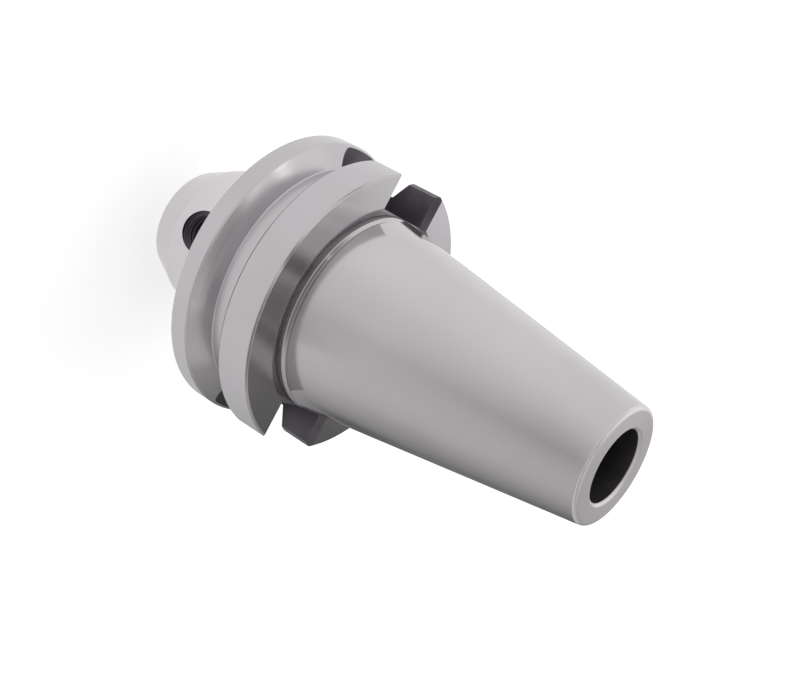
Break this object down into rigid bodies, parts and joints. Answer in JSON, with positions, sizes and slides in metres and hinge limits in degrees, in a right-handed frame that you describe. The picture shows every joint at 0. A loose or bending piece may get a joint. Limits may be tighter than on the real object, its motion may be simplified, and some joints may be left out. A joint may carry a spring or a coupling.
{
  "type": "side lock end mill holder",
  "caption": "Steep taper tool holder for a milling spindle; a screw in the side of its nose locks the cutter's flatted shank.",
  "frame": {"origin": "centre of the gauge plane, where the taper has its nominal diameter of 69.85 mm", "axes": "+Z along the holder's axis towards the pull stud end, -Y out of the nose along the side lock screw, +X and -X through the two key slots"},
  "size_m": [0.1, 0.1, 0.1818],
  "materials": {
    "ground_steel": "hardened steel, ground to a satin shine, with key slots left dark from hardening",
    "blackened_steel": "black oxide"
  },
  "bodies": {
    "holder": {"holder_body": "ground_steel"},
    "screw": {"side_lock_screw": "blackened_steel"}
  },
  "joints": [
    {"name": "screw_travel", "type": "slide", "parent": "holder", "child": "screw", "axis": [0, -1, 0], "range_m": [-0.002, 0.004]}
  ]
}
